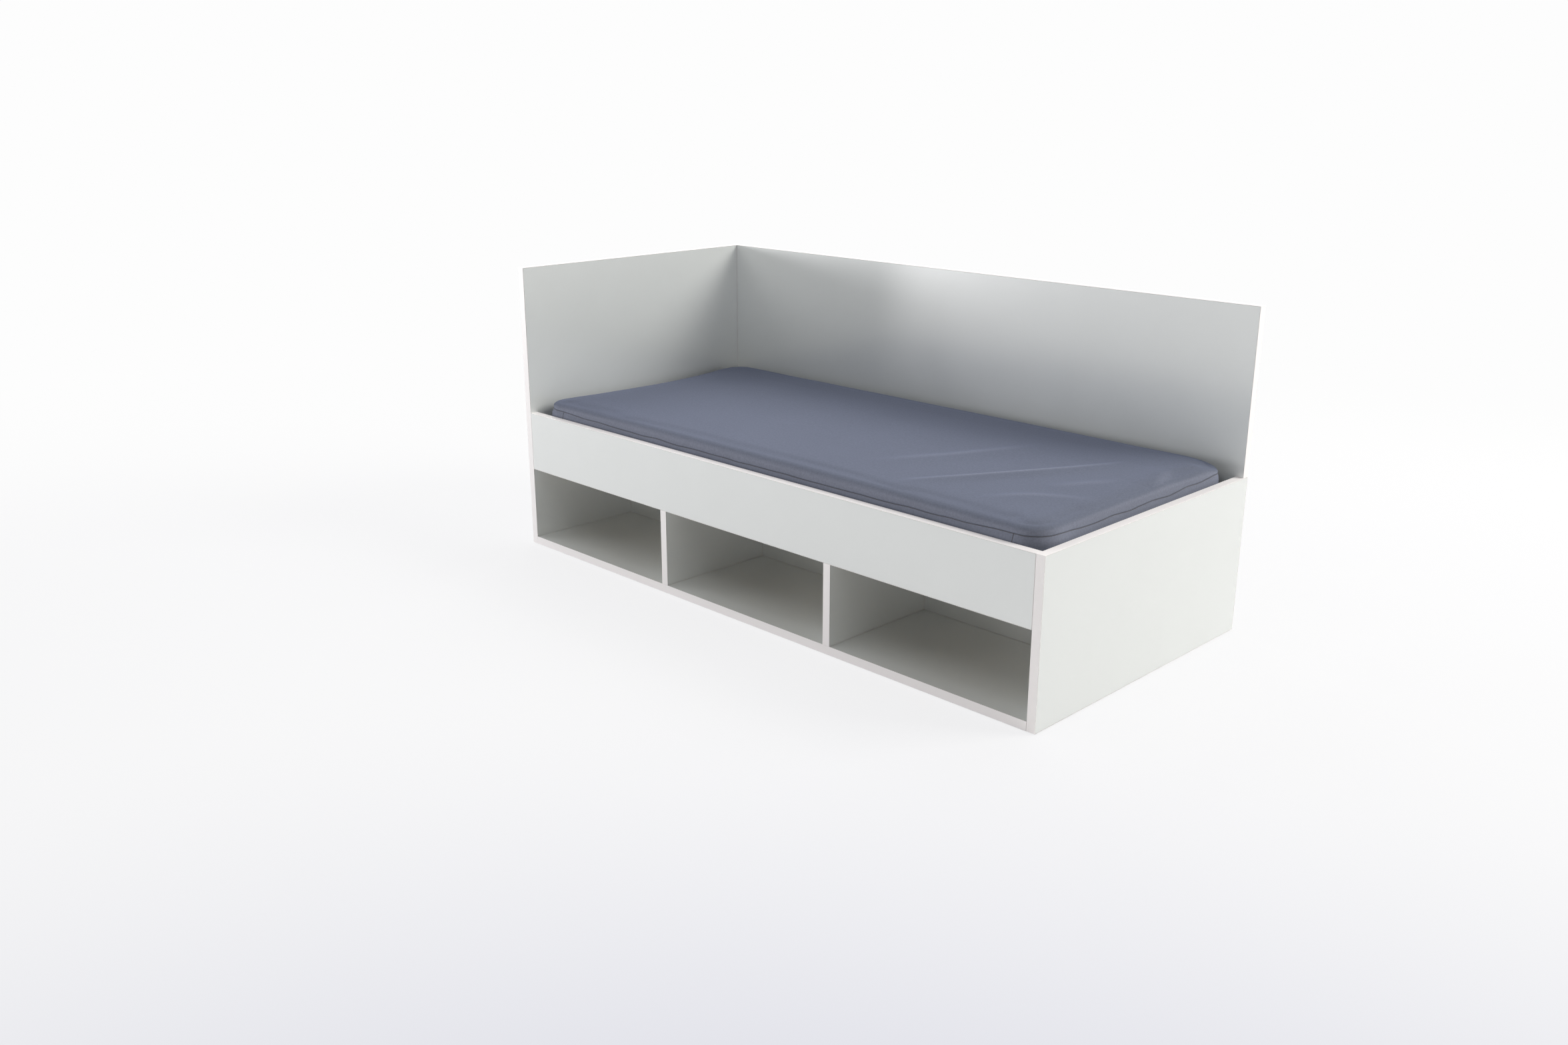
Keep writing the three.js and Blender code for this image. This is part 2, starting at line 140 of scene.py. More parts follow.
# The pucker beside the upper seam, the slow waves of the top, and the upright seams' groove as a
# share of the others'.
PUCKER_DEPTH, PUCKER_LENGTH, PUCKER_REACH = 0.6 * MM, 35 * MM, 25 * MM
WAVE_HEIGHT, WAVE_LENGTH = 1.0 * MM, 300 * MM
UPRIGHT_PULL = 0.6

# The seams' points, the start of the rays that find the cover, and how far the dark seam tube
# stands proud and the welt is sunk, as shares of their radius.
SEAM_STEP = 5 * MM
RAY_START = 60 * MM
THREAD_PROUD, WELT_SUNK = 0.2, 0.4

# How steeply the creases fade at their ends, and how many half widths their finer mesh takes.
CREASE_TAPER = 0.8
CREASE_REACH = 3

# Long soft creases on the right half of the top: both ends in plan, bow to the left, share of
# the highest crease's height, and share of the crease width.
CREASES = (
    (Vector((0.300, -0.290, 0)), Vector((0.545, 0.200, 0)), -0.020, 0.52, 1.7),
    (Vector((0.480, -0.375, 0)), Vector((0.815, 0.205, 0)), -0.025, 1.00, 1.0),
    (Vector((0.795, -0.155, 0)), Vector((0.905, 0.050, 0)), 0.000, 0.45, 1.8),
    (Vector((0.725, -0.350, 0)), Vector((0.955, -0.150, 0)), 0.025, 0.48, 1.5),
    (Vector((0.925, 0.230, 0)), Vector((0.985, 0.070, 0)), 0.000, 0.50, 1.8),
)

# Where the top sags a little at its edge: the middle in plan, both half sizes and the depth.
HOLLOWS = (
    (Vector((-0.955, 0.000, 0)), 0.07, 0.30, 0.0115),
    (Vector((0.985, 0.415, 0)), 0.06, 0.06, 0.018),
)

# Upright seams in the front border, by their place along the bed.
UPRIGHT_SEAMS = (-0.867, 0.908)

SENSOR_WIDTH = 36.0
CAMERA_PLACE = (2.7422, -3.0161, 1.4877)
CAMERA_TURN = (math.radians(72.399), 0.0, math.radians(45.274))

# The floor grows darker towards this spot, in front of the bed's right corner, and white far
# away: the distances from the spot at which both changes start and end, and how the near one
# grows.
FRONT_SPOT = (2.74, -3.02, 0.0)
NEAR_START, NEAR_END, NEAR_POWER = 3.4, 1.5, 2.0
FAR_START, FAR_END = 4.6, 8.0

# Shares of glow and of lit paper in the floor that the camera sees.
FLOOR_GLOW = 0.835
FLOOR_SHADE = 0.165

LAMP_AIM = Vector((0.0, 0.0, 0.4))

# Each soft lamp: its place, its two sides, its strength and its colour.
LAMPS = (
    ("left_high_lamp", (-3.6, -0.5, 3.4), (2.5, 2.5), 0.44, "#FFFFFF"),
    ("left_front_lamp", (-5.6, -4.4, 1.0), (3.0, 1.8), 0.90, "#FFFFFF"),
    ("left_far_lamp", (-12.0, -7.0, 1.4), (6.0, 2.4), 5.20, "#FFFFFF"),
    ("left_back_lamp", (-4.8, 3.9, 4.9), (3.5, 3.5), 1.00, "#FFFFFF"),
    ("back_high_lamp", (0.3, 3.6, 3.4), (3.0, 2.5), 0.28, "#FFFFFF"),
    ("back_top_lamp", (0.0, 2.2, 4.6), (3.0, 2.0), 0.20, "#FFFFFF"),
    ("front_top_lamp", (0.0, -2.2, 4.2), (3.0, 2.5), 0.40, "#FFFFFF"),
    ("right_back_lamp", (4.8, 3.6, 4.4), (3.5, 3.5), 3.80, "#FFFDF7"),
    ("right_far_lamp", (10.0, -1.5, 2.2), (4.0, 3.0), 0.66, "#FFFDF7"),
)


def linear(hex_colour):
    """An sRGB hex colour as the linear colour that a shader socket takes."""
    digits = hex_colour.lstrip("#")
    encoded = [int(digits[i : i + 2], 16) / 255 for i in (0, 2, 4)]
    decoded = [c / 12.92 if c <= 0.04045 else ((c + 0.055) / 1.055) ** 2.4 for c in encoded]
    return (*decoded, 1.0)


def shaded(colour, share):
    """A colour, darkened to a share of itself."""
    return (*(channel * share for channel in colour[:3]), 1.0)


def colour_property(name, description, hex_colour):
    """A colour that a user may change, kept linear."""
    return FloatVectorProperty(
        name=name,
        description=description,
        subtype="COLOR",
        size=4,
        min=0.0,
        max=1.0,
        default=linear(hex_colour),
    )


def length_property(name, description, metres):
    """A length that a user may change, in metres."""
    return FloatProperty(
        name=name,
        description=description,
        default=metres,
        min=0.0,
        precision=5,
        subtype="DISTANCE",
        unit="LENGTH",
    )


class BoardSettings(bpy.types.PropertyGroup):
    """Sizes and colours of the laminated boards."""

    face_colour: colour_property("Face", "Melamine face of the boards", "#D8DBDA")
    band_colour: colour_property("Edge band", "Plastic band on the boards' edges", "#F0ECEC")
    glue_colour: colour_property("Glue line", "Line of glue beside the edge band", "#8E8884")
    core_colour: colour_property("Core", "Chipboard inside the drilled holes", "#B99B73")
    edge_radius: length_property("Edge radius", "Rounding of the boards' outer edges", 0.5 * MM)
    band_thickness: length_property("Band", "Thickness of the edge band", 1.0 * MM)
    glue_width: length_property("Glue line", "Width of the glue line beside the band", 0.4 * MM)


class TimberSettings(bpy.types.PropertyGroup):
    """Sizes and colours of the slats and cleats."""

    pine_colour: colour_property("Pine", "Early wood of the slats", "#DFD0B4")
    ring_colour: colour_property("Pine rings", "Late wood of the slats", "#CBAF84")
    edge_radius: length_property("Slat edge", "Rounding of the slats' long edges", 3.0 * MM)
    end_radius: length_property("Slat end", "Rounding of the sawn ends", 0.8 * MM)


class FittingSettings(bpy.types.PropertyGroup):
    """Sizes and colours of the fittings and glides."""

    zinc_colour: colour_property("Cams", "Die-cast zinc of the cams", "#B9BABB")
    steel_colour: colour_property("Bolts", "Zinc-plated steel", "#C8C6C0")
    beech_colour: colour_property("Dowels", "Beech of the dowels", "#D9B48A")
    glide_colour: colour_property("Glides", "Moulded plastic of the glides", "#D6D4CE")
    edge_width: length_property("Edge", "Rounding of the fittings' edges", 0.3 * MM)


class MattressSettings(bpy.types.PropertyGroup):
    """Sizes and colours of the mattress."""

    cover_colour: colour_property("Cover", "Twill cover of the mattress", "#646977")
    # Painted light: this paler colour is painted on steep faces and on the crests of creases.
    painted_light_colour: colour_property("Cover side", "The same twill where its nap stands up", "#7A7E8C")
    # This dark colour is the sewing yarn's and also paints the shade in the seam's gap.
    thread_and_gap_shade_colour: colour_property("Seam thread", "Thread sunk in the cover seams", "#4B4745")
    mesh_size: length_property("Mesh size", "Side of a mesh face before it is divided", 12 * MM)
    slack: length_property("Slack", "How far the cover starts inside its box", 1 * MM)
    swell: length_property("Swell", "The most that the stuffed top rises", 5 * MM)
    side_swell: length_property("Side swell", "The most that the border swells", 2 * MM)
    pressure: FloatProperty(
        name="Pressure", description="Pressure of the foam on the cover", default=4.0, min=0.0
    )
    corner_radius: length_property("Corner radius", "Plan radius of the corners", 80 * MM)
    crown: length_property("Crown", "Rise of the top above its edge", 6 * MM)
    seam_depth: length_property("Seam depth", "Cover seam under the border's top", 25.5 * MM)
    seam_dip: length_property("Seam dip", "How far the seam dips between corners", 10 * MM)
    seam_waver: length_property("Seam waver", "How far the seam strays", 3.5 * MM)
    back_rise: length_property("Back rise", "How much fuller the back edge is", 2 * MM)
    back_run: length_property("Back run", "How far that fullness reaches forward", 160 * MM)
    lower_seam: length_property("Lower seam", "Height of the lower seam", 20 * MM)
    shoulder: length_property("Shoulder", "How full the rounding round the top is", 4 * MM)
    nose: length_property("Nose", "How far the border stands out below the upper seam", 7 * MM)
    nose_run: length_property("Nose run", "How soon under the seam it does so", 12 * MM)
    groove: length_property("Groove", "How deep the seams pull the cover in", 0.5 * MM)
    groove_width: length_property("Groove width", "Half width of that pull", 5 * MM)
    thread_radius: length_property("Thread radius", "Radius of the seam thread", 0.6 * MM)
    welt_radius: length_property("Welt radius", "Radius of the cover's turned edge", 1.0 * MM)
    crease_height: length_property("Crease height", "Height of the highest crease", 6 * MM)
    crease_width: length_property("Crease width", "Half width of its steep left side", 12 * MM)
    # Painted highlight: the half width of the paler crest painted along each crease.
    painted_crest_width: length_property("Crest width", "Half width of its paler crest", 10 * MM)
    crease_fall: length_property("Crease fall", "Half width of its gentle right side", 34 * MM)


class StageSettings(bpy.types.PropertyGroup):
    """Floor, lamps and camera."""

    floor_colour: colour_property("Floor", "Paper on the studio floor", "#F8F8F9")
    near_colour: colour_property("Near floor", "Floor towards the camera", "#D9DAE5")
    far_colour: colour_property("Far floor", "Floor and wall far behind the bed", "#FDFDFD")
    floor_size: length_property("Floor size", "Side of the square floor", 60.0)
    ambient: FloatProperty(
        name="Ambient", description="Strength of the even light", default=0.2, min=0.0
    )
    lamp_power: FloatProperty(
        name="Lamps",
        description="Power of a lamp of strength 1",
        default=100.0,
        min=0.0,
        unit="POWER",
    )
    focal_length: FloatProperty(
        name="Focal length",
        description="Focal length of the camera on a 36 mm sensor",
        default=31.96,
        min=1.0,
        unit="CAMERA",
    )


class CornerBedSettings(bpy.types.PropertyGroup):
    """All the settings of the corner bed."""

    boards: PointerProperty(type=BoardSettings)
    timber: PointerProperty(type=TimberSettings)
    fittings: PointerProperty(type=FittingSettings)
    bedding: PointerProperty(type=MattressSettings)
    stage: PointerProperty(type=StageSettings)


def add_node(tree, kind, inputs=(), **settings):
    """Adds a shader node, sets its options and then each input to a value or a link.

    A node given as an input is linked by its first output.
    """
    node = tree.nodes.new("ShaderNode" + kind)
    for name, value in settings.items():
        setattr(node, name, value)
    for key, value in dict(inputs).items():
        if isinstance(value, bpy.types.Node):
            value = value.outputs[0]
        if isinstance(value, bpy.types.NodeSocket):
            tree.links.new(value, node.inputs[key])
        else:
            node.inputs[key].default_value = value
    return node


def start_material(name):
    """A named material with an empty node tree."""
    material = bpy.data.materials.new(name)
    material.use_nodes = True
    material.node_tree.nodes.clear()
    return material, material.node_tree


def melamine_laminate(boards):
    """White melamine face, pressed on a fine pearl plate."""
    # Melamine gives a cool satin white. The pearl grain is 0.3 mm on the real board and is drawn
    # as coarse as 4 mm, so that it shows, and a faint mottle keeps large faces from looking flat.
    material, tree = start_material("melamine_laminate")
    place = add_node(tree, "TexCoord").outputs["Object"]
    mottle = add_node(tree, "TexNoise", {"Vector": place, "Scale": 1 / MOTTLE_SIZE, "Detail": 3.0})
    colour = add_node(
        tree,
        "Mix",
        {
            MIX_FACTOR: mottle,
            MIX_A: shaded(boards.face_colour, MOTTLE_SHADE),
            MIX_B: boards.face_colour,
        },
        data_type="RGBA",
    )
    pearl = add_node(tree, "TexNoise", {"Vector": place, "Scale": 1 / PEARL_SIZE, "Detail": 2.0})
    bump = add_node(tree, "Bump", {"Height": pearl, "Strength": 0.06, "Distance": RELIEF})
    gloss = add_node(tree, "MapRange", {"Value": mottle, "To Min": 0.22, "To Max": 0.27})
    surface = add_node(
        tree,
        "BsdfPrincipled",
        {
            "Base Color": colour.outputs[MIX_RESULT],
            "Roughness": gloss,
            "Normal": bump,
            "IOR": 2.8,
        },
    )
    add_node(tree, "OutputMaterial", {"Surface": surface})
    return material


def edge_band(boards):
    """ABS edge band, extruded and trimmed flush."""
    # A milled band is a little warmer and duller than the face, and not quite even.
    material, tree = start_material("abs_edge_band")
    place = add_node(tree, "TexCoord").outputs["Object"]
    mottle = add_node(
        tree, "TexNoise", {"Vector": place, "Scale": 1 / BAND_MOTTLE_SIZE, "Detail": 2.0}
    )
    bump = add_node(tree, "Bump", {"Height": mottle, "Strength": 0.1, "Distance": RELIEF})
    surface = add_node(
        tree,
        "BsdfPrincipled",
        {
            "Base Color": boards.band_colour,
            "Roughness": 0.4,
            "IOR": 1.7,
            "Normal": bump,
        },
    )
    add_node(tree, "OutputMaterial", {"Surface": surface})
    return material


def glue_line(boards):
    """Hot-melt glue that shows as a fine line between face and band."""
    material, tree = start_material("hot_melt_glue_line")
    surface = add_node(
        tree, "BsdfPrincipled", {"Base Color": boards.glue_colour, "Roughness": 0.6}
    )
    add_node(tree, "OutputMaterial", {"Surface": surface})
    return material


def chipboard_core(boards):
    """Chipboard, cut by the drill: pressed flakes in glue."""
    material, tree = start_material("chipboard_core")
    place = add_node(tree, "TexCoord").outputs["Object"]
    flakes = add_node(tree, "TexVoronoi", {"Vector": place, "Scale": 1 / FLAKE_SIZE})
    tone = add_node(
        tree,
        "Mix",
        {
            MIX_FACTOR: flakes.outputs["Color"],
            MIX_A: shaded(boards.core_colour, CORE_SHADE),
            MIX_B: boards.core_colour,
        },
        data_type="RGBA",
    )
    surface = add_node(
        tree, "BsdfPrincipled", {"Base Color": tone.outputs[MIX_RESULT], "Roughness": 0.9}
    )
    add_node(tree, "OutputMaterial", {"Surface": surface})
    return material


def node_copy(node):
    """A copy of a CAD node's mesh, merged, with its flat faces made whole."""
    bm = bmesh.new()
    bm.from_mesh(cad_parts[node].data)
    bmesh.ops.remove_doubles(bm, verts=bm.verts, dist=MERGE_DISTANCE)
    bmesh.ops.dissolve_limit(bm, angle_limit=FLAT_ANGLE, verts=bm.verts, edges=bm.edges)
    bm.normal_update()
    return bm


def round_edges(bm, edges, radius, segments):
    """Rounds edges over."""
    bmesh.ops.bevel(
        bm,
        geom=edges,
        offset=radius,
        offset_type="OFFSET",
        segments=segments,
        profile=0.5,
        affect="EDGES",
        material=-1,
    )


def add_object(name, data):
    """An object in the scene, around its mesh, curve, lamp or camera."""
    made = bpy.data.objects.new(name, data)
    bpy.context.scene.collection.objects.link(made)
    return made


def add_piece(bm, name, materials, body, nodes):
    """Turns a bmesh into a finished piece that stands for its CAD nodes."""
    mesh = bpy.data.meshes.new(name)
    bm.to_mesh(mesh)
    bm.free()
    for material in materials:
        mesh.materials.append(material)
    piece = add_object(name, mesh)
    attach(piece, body)
    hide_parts(*nodes)
    return piece


def board_sides(bm, thin, low, high):
    """The board's outer sides: the axis each faces along, its place and its extent."""
    sides = {}
    thickness = high[thin] - low[thin]
    for face in bm.faces:
        axis = max((X, Y, Z), key=lambda a: abs(face.normal[a]))
        if axis == thin or abs(face.normal[axis]) < FLAT_SHARE:
            continue
        across = [v.co[thin] for v in face.verts]
        if max(across) - min(across) < FLAT_SHARE * thickness:
            continue
        along = X + Y + Z - axis - thin
        reach = [v.co[along] for v in face.verts]
        key = (axis, round(face.verts[0].co[axis] / MM, 2), face.normal[axis] > 0)
        old = sides.get(key, (math.inf, -math.inf))
        sides[key] = (min(old[0], *reach), max(old[1], *reach))
    return [
        {
            "axis": axis,
            "place": place * MM,
            "out": 1 if out else -1,
            "along": X + Y + Z - axis - thin,
            "reach": reach,
        }
        for (axis, place, out), reach in sides.items()
    ]


def is_covered(side, thin, low, high):
    """Whether another board closes a side, so that it has no band."""
    along = side["along"]
    start, end = side["reach"]
    for other in BOARD_NODES:
        other_low, other_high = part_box(other)
        facing = other_low if side["out"] > 0 else other_high
        if (
            abs(facing[side["axis"]] - side["place"]) < TOUCHING
            and other_low[along] < start + TOUCHING
            and other_high[along] > end - TOUCHING
            and other_low[thin] < low[thin] + TOUCHING
            and other_high[thin] > high[thin] - TOUCHING
        ):
            return True
    return False


def side_distance(point, sides):
    """How far a point on the board lies from the nearest of its sides."""
    nearest = math.inf
    for side in sides:
        start, end = side["reach"]
        beyond = max(start - point[side["along"]], 0.0, point[side["along"]] - end)
        nearest = min(nearest, math.hypot(point[side["axis"]] - side["place"], beyond))
    return nearest


def finish_board(node, boards, materials):
    """One laminated board: banded edges, glue lines, rounded arrises and drilled holes."""
    low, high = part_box(node)
    thin = min((X, Y, Z), key=lambda a: high[a] - low[a])
    glued = boards.band_thickness + boards.glue_width
    bm = node_copy(node)
    every_side = board_sides(bm, thin, low, high)
    sides = [side for side in every_side if not is_covered(side, thin, low, high)]
    for side in sides:
        normal = Vector((0, 0, 0))
        normal[side["axis"]] = side["out"]
        for inset in (boards.band_thickness, glued):
            point = normal * (side["out"] * side["place"] - inset)
            bmesh.ops.bisect_plane(
                bm,
                geom=[*bm.verts, *bm.edges, *bm.faces],
                dist=MERGE_DISTANCE,
                plane_co=point,
                plane_no=normal,
            )
    bm.normal_update()
    outer = set()
    for face in bm.faces:
        centre = face.calc_center_median()
        if abs(face.normal[thin]) > FLAT_SHARE:
            on_face = min(abs(centre[thin] - low[thin]), abs(centre[thin] - high[thin]))
            if on_face > MERGE_DISTANCE:
                face.material_index = CORE
                continue
            edge = side_distance(centre, sides)
            if edge < boards.band_thickness:
                face.material_index = BAND
            else:
                face.material_index = GLUE if edge < glued else FACE
            outer.add(face)
        elif side_distance(centre, sides) < MERGE_DISTANCE:
            face.material_index = BAND
            outer.add(face)
        else:
            face.material_index = CORE
            if side_distance(centre, every_side) < MERGE_DISTANCE:
                outer.add(face)
    arrises = [
        e
        for e in bm.edges
        if e.is_convex
        and e.calc_face_angle(0.0) > SHARP_ANGLE
        and all(f in outer for f in e.link_faces)
    ]
    round_edges(bm, arrises, boards.edge_radius, ARRIS_SEGMENTS)
    add_piece(bm, "laminated_" + node, materials, "root", [node])


class CORNERBED_OT_boards(bpy.types.Operator):
    """Makes the eight laminated boards"""

    bl_idname = "corner_bed.boards"
    bl_label = "Boards"

    def execute(self, context):
        boards = context.scene.corner_bed.boards
        materials = [
            melamine_laminate(boards),
            edge_band(boards),
            glue_line(boards),
            chipboard_core(boards),
        ]
        for node in BOARD_NODES:
            finish_board(node, boards, materials)
        return {"FINISHED"}


def planed_pine(name, timber, along):
    """Planed pine, with its grain along one axis."""
    # Pine shows warm growth rings that run along the batten in long flames. The rings lie 6 mm
    # apart, and fine fibres 1 mm wide are drawn at 3 mm so that they show.
    material, tree = start_material(name)
    place = add_node(tree, "TexCoord").outputs["Object"]
    stretch = [1 / FLAME_WIDTH] * 3
    stretch[along] = 1 / FLAME_LENGTH
    flames = add_node(tree, "Mapping", {"Vector": place, "Scale": stretch})
    flames = add_node(tree, "TexNoise", {"Vector": flames, "Scale": 1.0, "Detail": 1.0})
    rings = add_node(tree, "Math", {0: flames, 1: RING_RADIANS}, operation="MULTIPLY")
    rings = add_node(tree, "Math", {0: rings}, operation="SINE")
    rings = add_node(tree, "MapRange", {"Value": rings, "From Min": -0.2, "From Max": 1.0})
    stretch = [1 / FIBRE_WIDTH] * 3
    stretch[along] = 1 / FIBRE_LENGTH
    fibres = add_node(tree, "Mapping", {"Vector": place, "Scale": stretch})
    fibres = add_node(tree, "TexNoise", {"Vector": fibres, "Scale": 1.0, "Detail": 2.0})
    dark = add_node(tree, "Math", {0: rings, 1: fibres}, operation="MULTIPLY")
    colour = add_node(
        tree,
        "Mix",
        {MIX_FACTOR: dark, MIX_A: timber.pine_colour, MIX_B: timber.ring_colour},
        data_type="RGBA",
    )
    bump = add_node(tree, "Bump", {"Height": fibres, "Strength": 0.25, "Distance": HIGH_RELIEF})
    surface = add_node(
        tree,
        "BsdfPrincipled",
        {
            "Base Color": colour.outputs[MIX_RESULT],
            "Roughness": 0.62,
            "IOR": 1.5,
            "Normal": bump,
        },
    )
    add_node(tree, "OutputMaterial", {"Surface": surface})
    return material


def planed_batten(node, along, radius, end_radius, material):
    """One slat or cleat in its node's box, with its long edges rounded over."""
    low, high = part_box(node)
    bm = bmesh.new()
    block = Matrix.Translation((low + high) / 2) @ Matrix.Diagonal((*(high - low), 1.0))
    bmesh.ops.create_cube(bm, size=1.0, matrix=block)
    rounding = ((True, radius, SLAT_SEGMENTS), (False, end_radius, END_SEGMENTS))
    for long_edges, width, segments in rounding:
        edges = []
        for edge in bm.edges:
            run = (edge.verts[1].co - edge.verts[0].co).normalized()
            corner = edge.calc_face_angle(0.0) > SHARP_ANGLE
            if corner and (abs(run[along]) > FLAT_SHARE) == long_edges:
                edges.append(edge)
        round_edges(bm, edges, width, segments)
    add_piece(bm, "planed_" + node, [material], "root", [node])


class CORNERBED_OT_slatted_base(bpy.types.Operator):
    """Makes the slats and the two cleats that carry them"""

    bl_idname = "corner_bed.slatted_base"
    bl_label = "Slatted base"

    def execute(self, context):
        timber = context.scene.corner_bed.timber
        slat_pine = planed_pine("planed_pine_slats", timber, Y)
        cleat_pine = planed_pine("planed_pine_cleats", timber, X)
        for node in sorted(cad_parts):
            if node.startswith("slat_"):
                planed_batten(node, Y, timber.edge_radius, timber.end_radius, slat_pine)
            elif node.endswith("_cleat"):
                planed_batten(node, X, timber.end_radius, timber.end_radius, cleat_pine)
        return {"FINISHED"}


def cast_metal(name, colour, roughness, grain):
    """Bare metal with a fine grain: die-cast zinc or plated steel."""
    material, tree = start_material(name)
    place = add_node(tree, "TexCoord").outputs["Object"]
    pits = add_node(tree, "TexNoise", {"Vector": place, "Scale": 1 / grain, "Detail": 3.0})
    bump = add_node(tree, "Bump", {"Height": pits, "Strength": 0.3, "Distance": LOW_RELIEF})
    gloss = add_node(
        tree,
        "MapRange",
        {
            "Value": pits,
            "To Min": roughness - GLOSS_RANGE,
            "To Max": roughness + GLOSS_RANGE,
        },
    )
    surface = add_node(
        tree,
        "BsdfPrincipled",
        {
            "Base Color": colour,
            "Metallic": 1.0,
            "Roughness": gloss,
            "Normal": bump,
        },
    )
    add_node(tree, "OutputMaterial", {"Surface": surface})
    return material


def turned_beech(fittings):
    """Beech, turned into dowels, with short dark flecks."""
    material, tree = start_material("turned_beech")
    place = add_node(tree, "TexCoord").outputs["Object"]
    flecks = add_node(tree, "TexNoise", {"Vector": place, "Scale": 1 / FLECK_SIZE, "Detail": 2.0})
    gloss = add_node(tree, "MapRange", {"Value": flecks, "To Min": 0.55, "To Max": 0.75})
    bump = add_node(tree, "Bump", {"Height": flecks, "Strength": 0.3, "Distance": RELIEF})
    surface = add_node(
        tree,
        "BsdfPrincipled",
        {
            "Base Color": fittings.beech_colour,
            "Roughness": gloss,
            "Normal": bump,
        },
    )
    add_node(tree, "OutputMaterial", {"Surface": surface})
    return material


def moulded_glide(fittings):
    """Polyethylene glide, injection moulded with a matt skin."""
    material, tree = start_material("moulded_polyethylene")
    place = add_node(tree, "TexCoord").outputs["Object"]
    skin = add_node(tree, "TexNoise", {"Vector": place, "Scale": 1 / SKIN_SIZE, "Detail": 2.0})
    bump = add_node(tree, "Bump", {"Height": skin, "Strength": 0.2, "Distance": LOW_RELIEF})
    surface = add_node(
        tree,
        "BsdfPrincipled",
        {"Base Color": fittings.glide_colour, "Roughness": 0.5, "Normal": bump},
    )
    add_node(tree, "OutputMaterial", {"Surface": surface})
    return material


class CORNERBED_OT_fittings(bpy.types.Operator):
    """Finishes the cams, bolts, dowels, screws and glides"""

    bl_idname = "corner_bed.fittings"
    bl_label = "Fittings"

    def execute(self, context):
        fittings = context.scene.corner_bed.fittings
        zinc = cast_metal("die_cast_zinc", fittings.zinc_colour, 0.42, CAST_GRAIN)
        steel = cast_metal("zinc_plated_steel", fittings.steel_colour, 0.3, PLATED_GRAIN)
        beech = turned_beech(fittings)
        glide = moulded_glide(fittings)
        for node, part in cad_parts.items():
            if node.endswith("_cam"):
                material = zinc
            elif node.endswith("_bolt") or "_screw_" in node:
                material = steel
            elif node.endswith("_dowel"):
                material = beech
            elif node.startswith("glide_"):
                material = glide
            else:
                continue
            part.data.materials.clear()
            part.data.materials.append(material)
            weld = part.modifiers.new("Weld", "WELD")
            weld.merge_threshold = MERGE_DISTANCE
            bevel = part.modifiers.new("Bevel", "BEVEL")
            bevel.width = fittings.edge_width
            bevel.segments = ARRIS_SEGMENTS
            bevel.limit_method = "ANGLE"
            bevel.angle_limit = FITTING_ANGLE
        return {"FINISHED"}


def cover_twill(bedding):
    """Slate-blue polyester and cotton twill."""
    # A brushed twill is soft and matt, with fine diagonal lines and a heathered yarn. The threads
    # are 0.5 mm apart and are drawn at 3 mm, and the heather at 5 mm, so that they show. The top
    # keeps the bluer cover colour. Painted light: the steep sides and the crests of the creases
    # take a paler, greyer colour, and faces that look back keep the darker one as painted shade.
    material, tree = start_material("brushed_twill")
    place = add_node(tree, "TexCoord").outputs["Object"]
    lines = math.tau / (WAVE_RADIANS * math.sqrt(2) * TWILL_STEP)
    twill = add_node(
        tree,
        "TexWave",
        {"Vector": place, "Scale": lines, "Distortion": 0.6},
        wave_type="BANDS",
        bands_direction="DIAGONAL",
    )
    heather = add_node(
        tree, "TexNoise", {"Vector": place, "Scale": 1 / HEATHER_SIZE, "Detail": 2.0}
    )
    cloud = add_node(tree, "TexNoise", {"Vector": place, "Scale": 1 / CLOUD_SIZE, "Detail": 2.0})
    shade = add_node(tree, "MapRange", {"Value": heather, "To Min": 0.80, "To Max": 1.16})
    slow = add_node(tree, "MapRange", {"Value": cloud, "To Min": 0.96, "To Max": 1.04})
    tone = add_node(tree, "Math", {0: shade, 1: slow}, operation="MULTIPLY")
    # Painted light: the attribute mixes in the paler side colour on steep faces and crease crests.
    painted_light_share = add_node(tree, "Attribute", attribute_name=PAINTED_LIGHT)
    painted_light = add_node(
        tree,
        "Mix",
        {
            MIX_FACTOR: painted_light_share.outputs["Fac"],
            MIX_A: bedding.cover_colour,
            MIX_B: bedding.painted_light_colour,
        },
        data_type="RGBA",
    )
    colour = add_node(
        tree,
        "VectorMath",
        {0: painted_light.outputs[MIX_RESULT], "Scale": tone},
        operation="SCALE",
    )
    height = add_node(tree, "Math", {0: twill.outputs[1], 1: heather}, operation="ADD")
    bump = add_node(tree, "Bump", {"Height": height, "Strength": 0.25, "Distance": HIGH_RELIEF})
    surface = add_node(
        tree,
        "BsdfPrincipled",
        {
            "Base Color": colour,
            "Roughness": 0.85,
            "IOR": 1.3,
            "Sheen Weight": 0.12,
            "Sheen Roughness": 0.5,
            "Sheen Tint": linear("#8FA4E6"),
            "Normal": bump,
        },
    )
    add_node(tree, "OutputMaterial", {"Surface": surface})
    return material


def thread_and_seam_shade(bedding):
    """Spun polyester sewing yarn, darkened so that it also paints the shade in the seam's gap."""
    material, tree = start_material("polyester_thread_and_seam_shade")
    place = add_node(tree, "TexCoord").outputs["Object"]
    twist = add_node(tree, "TexNoise", {"Vector": place, "Scale": 1 / TWIST_LENGTH, "Detail": 1.0})
    tone = add_node(tree, "MapRange", {"Value": twist, "To Min": 0.6, "To Max": 1.4})
    colour = add_node(
        tree,
        "VectorMath",
        {0: bedding.thread_and_gap_shade_colour[:3], "Scale": tone},
        operation="SCALE",
    )
    surface = add_node(tree, "BsdfPrincipled", {"Base Color": colour, "Roughness": 0.8})
    add_node(tree, "OutputMaterial", {"Surface": surface})
    return material


